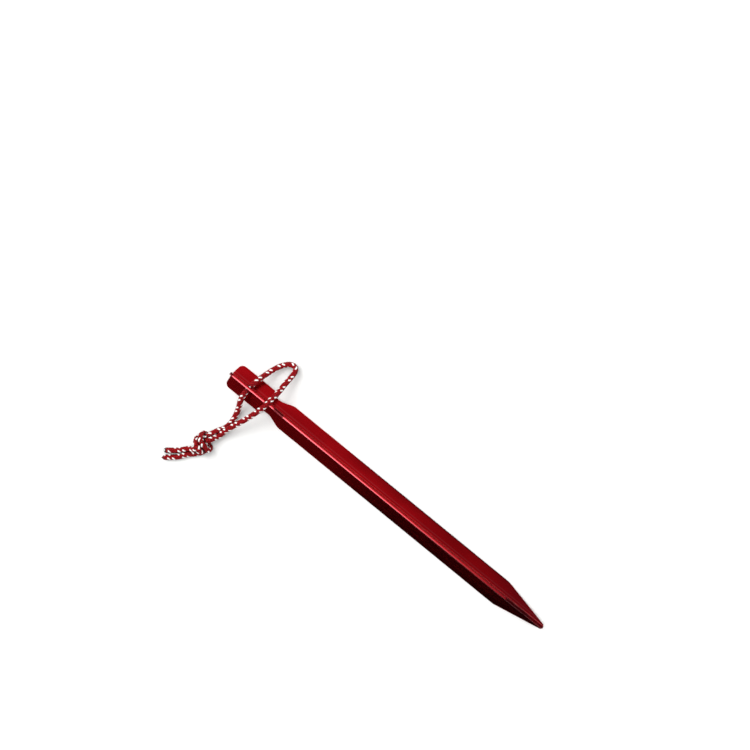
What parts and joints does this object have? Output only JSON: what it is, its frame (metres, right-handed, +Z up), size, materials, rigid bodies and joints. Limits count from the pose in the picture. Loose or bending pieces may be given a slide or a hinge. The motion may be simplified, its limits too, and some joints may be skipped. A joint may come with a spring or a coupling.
{
  "type": "tent stake",
  "caption": "Y-section aluminium tent stake with a notched head, tapered tip and braided pull cord knotted through one fin.",
  "frame": {"origin": "middle of the stake's footprint, on the surface that the stake lies on; the cord isn't counted", "axes": "+X along the stake from head to tip, +Z up along the upright fin, +Y to the side away from the knot"},
  "size_m": [0.1824, 0.0721, 0.0136],
  "materials": {
    "anodised_aluminium": "red anodised, satin",
    "braided_cord": "braided red sheath with white reflective tracer yarns",
    "sealed_end": "yarns melted together by a hot cut"
  },
  "bodies": {
    "root": {"stake": "anodised_aluminium", "cord_long_side": "braided_cord", "cord_short_side": "braided_cord", "cord_knot": "braided_cord", "cord_outer_tail": "braided_cord", "cord_inner_tail": "braided_cord", "outer_sealed_end": "sealed_end", "inner_sealed_end": "sealed_end"}
  },
  "joints": []
}
